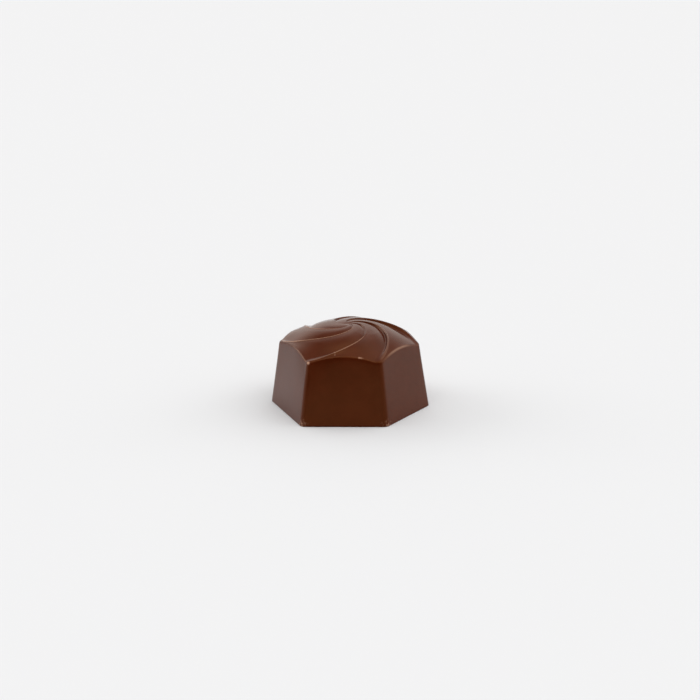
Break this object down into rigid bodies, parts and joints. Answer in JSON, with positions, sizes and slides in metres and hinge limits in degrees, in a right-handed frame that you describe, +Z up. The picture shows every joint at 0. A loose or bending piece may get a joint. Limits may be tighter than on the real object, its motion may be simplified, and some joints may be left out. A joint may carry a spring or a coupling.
{
  "type": "chocolate praline",
  "caption": "Moulded chocolate praline with drafted flat sides under a domed top with a plain swirl relief, resting on its flat base.",
  "frame": {"origin": "middle of the flat base that the praline rests on", "axes": "+Z up through the eye of the swirl; -Y out of one flat side; the X axis through two opposite upright edges"},
  "size_m": [0.0316, 0.0276, 0.0168],
  "materials": {
    "chocolate": "moulded glossy chocolate, semi-gloss with faint scuffs"
  },
  "bodies": {
    "root": {"praline": "chocolate"}
  },
  "joints": []
}
